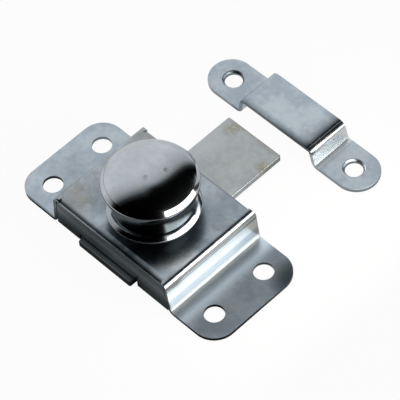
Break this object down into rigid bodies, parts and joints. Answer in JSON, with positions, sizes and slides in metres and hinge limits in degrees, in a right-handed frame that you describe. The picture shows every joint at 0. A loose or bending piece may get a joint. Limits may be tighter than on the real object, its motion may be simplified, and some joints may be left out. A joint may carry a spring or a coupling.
{
  "type": "barrel bolt",
  "caption": "Surface slide bolt: a flat bolt bar under a raised pressed housing, moved by a domed mushroom knob, with a separate bridge keeper.",
  "frame": {"origin": "middle of the housing's four screw holes, on the surface that the feet are screwed to", "axes": "+X along the housing from foot to foot, +Y the way the bolt is thrown towards the keeper, +Z away from the surface"},
  "size_m": [0.07, 0.0677, 0.0256],
  "materials": {
    "plated_sheet": "zinc plated pressed steel, cloudy grey-blue",
    "plated_bar": "zinc plated steel with faint yellow-brown stains",
    "plated_knob": "bright zinc plated, polished",
    "spring_steel": "tempered spring strip, dull grey"
  },
  "bodies": {
    "housing": {"housing": "plated_sheet", "keeper": "plated_sheet"},
    "bolt": {"bolt_bar": "plated_bar", "knob_stem": "plated_bar", "slot_washer": "plated_knob", "knob_neck": "plated_knob", "knob_cap": "plated_knob", "friction_spring": "spring_steel"}
  },
  "joints": [
    {"name": "bolt_slide", "type": "slide", "parent": "housing", "child": "bolt", "axis": [0, 1, 0], "range_m": [-0.0088, 0.0012]}
  ]
}
